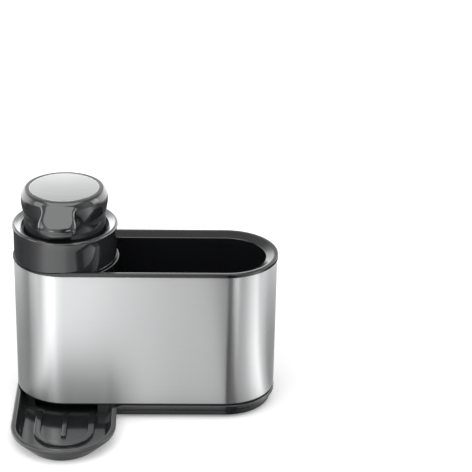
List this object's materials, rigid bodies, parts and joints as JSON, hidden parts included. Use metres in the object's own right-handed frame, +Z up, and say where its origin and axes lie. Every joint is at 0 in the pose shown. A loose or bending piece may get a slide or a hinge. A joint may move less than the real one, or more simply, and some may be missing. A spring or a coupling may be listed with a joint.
{
  "type": "soap pump caddy",
  "caption": "Steel-sleeved sink caddy with a sponge compartment, a lift-out soap bottle with a press-down pump, and a drip tray under its nose.",
  "frame": {"origin": "on the plane that the feet stand on, under the middle of the object's bounding box", "axes": "+Z up, X along the caddy with the pump towards -X, -Y towards the front, where the drip tray reaches out"},
  "size_m": [0.2064, 0.1492, 0.182],
  "materials": {
    "base_plastic": "fine satin moulding, very dark grey",
    "rubber": "soft matte rubber, black",
    "insert_plastic": "satin moulding, very dark grey",
    "brushed_steel": "fine brushed grain round the body",
    "ring_plastic": "matte black moulding",
    "screw_steel": "plain bright steel",
    "bottle_plastic": "polished dark grey moulding",
    "head_plastic": "polished dark grey moulding",
    "silicone": "grey silicone",
    "pump_plastic": "natural white moulding",
    "seal_plastic": "soft white moulding",
    "ball_steel": "polished ball",
    "spring_steel": "drawn stainless wire"
  },
  "bodies": {
    "base": {"base_tray": "base_plastic", "rubber_feet": "rubber"},
    "caddy": {"caddy_insert": "insert_plastic", "steel_sleeve": "brushed_steel", "sleeve_ring": "ring_plastic", "ring_screws": "screw_steel"},
    "bottle": {"soap_bottle": "bottle_plastic"},
    "pump": {"pump_lid": "bottle_plastic", "lid_seal": "silicone", "pump_barrel": "pump_plastic", "barrel_washer": "silicone", "stem_guide": "pump_plastic", "dip_tube": "pump_plastic", "ball_cage": "pump_plastic", "return_spring": "spring_steel"},
    "plunger": {"piston_stem": "pump_plastic", "piston_seal": "seal_plastic"},
    "head": {"head_core": "ring_plastic", "pump_head": "head_plastic", "head_plate": "brushed_steel", "nozzle_valve": "rubber"},
    "inlet_valve_ball": {"inlet_ball": "ball_steel"},
    "outlet_valve_ball": {"outlet_ball": "ball_steel"}
  },
  "joints": [
    {"name": "caddy_lift", "type": "slide", "parent": "base", "child": "caddy", "axis": [0, 0, 1], "range_m": [0, 0.04]},
    {"name": "bottle_lift", "type": "slide", "parent": "caddy", "child": "bottle", "axis": [0, 0, 1], "range_m": [0, 0.11]},
    {"name": "pump_lift", "type": "slide", "parent": "bottle", "child": "pump", "axis": [0, 0, 1], "range_m": [0, 0.13]},
    {"name": "head_press", "type": "slide", "parent": "pump", "child": "plunger", "axis": [0, 0, -1], "range_m": [0, 0.0065], "stiffness_N_per_m": 300, "springref_m": -0.006, "deforming": ["return_spring"]},
    {"name": "head_swivel", "type": "hinge", "parent": "plunger", "child": "head", "pos_m": [-0.06235, 0.03375, 0.155], "axis": [0, 0, 1], "continuous": true},
    {"name": "inlet_valve", "type": "slide", "parent": "pump", "child": "inlet_valve_ball", "axis": [0, 0, 1], "range_m": [0, 0.0015]},
    {"name": "outlet_valve", "type": "slide", "parent": "plunger", "child": "outlet_valve_ball", "axis": [0, 0, 1], "range_m": [0, 0.0018]}
  ]
}
